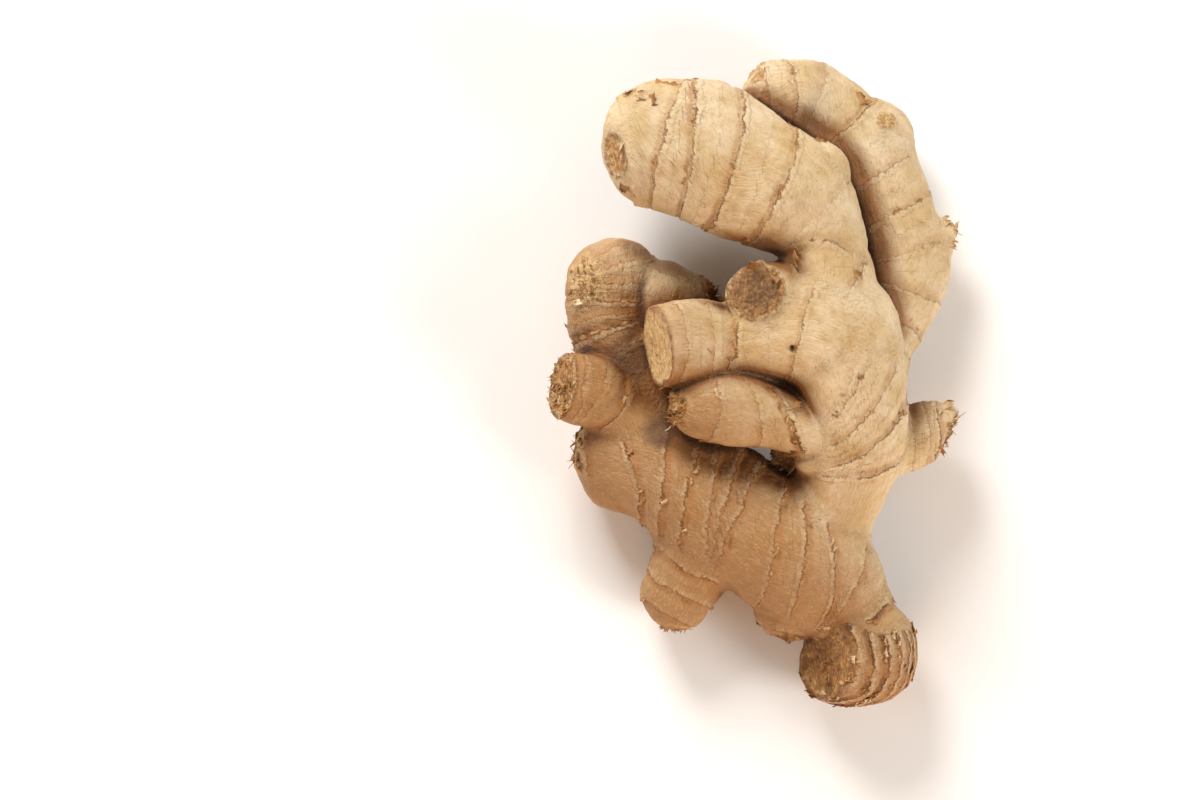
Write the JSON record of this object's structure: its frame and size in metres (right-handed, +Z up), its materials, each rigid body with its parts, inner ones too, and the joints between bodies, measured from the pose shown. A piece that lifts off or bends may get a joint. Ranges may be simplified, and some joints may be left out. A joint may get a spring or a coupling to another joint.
{
  "type": "ginger root",
  "caption": "Whole fresh ginger rhizome, a branched knobbly hand of ringed tan fingers, lying on its flatter side.",
  "frame": {"origin": "centre of the rhizome's outline, on the surface that it lies on", "axes": "+Y along the hand towards the crown finger, +X towards the outer finger, +Z up from the surface"},
  "size_m": [0.1034, 0.1624, 0.048],
  "materials": {
    "ginger_skin": "dry, thin, papery tan skin with brown leaf-scar rings, matt with a faint satin on the smooth stretches"
  },
  "bodies": {
    "root": {"rhizome": "ginger_skin"}
  },
  "joints": []
}
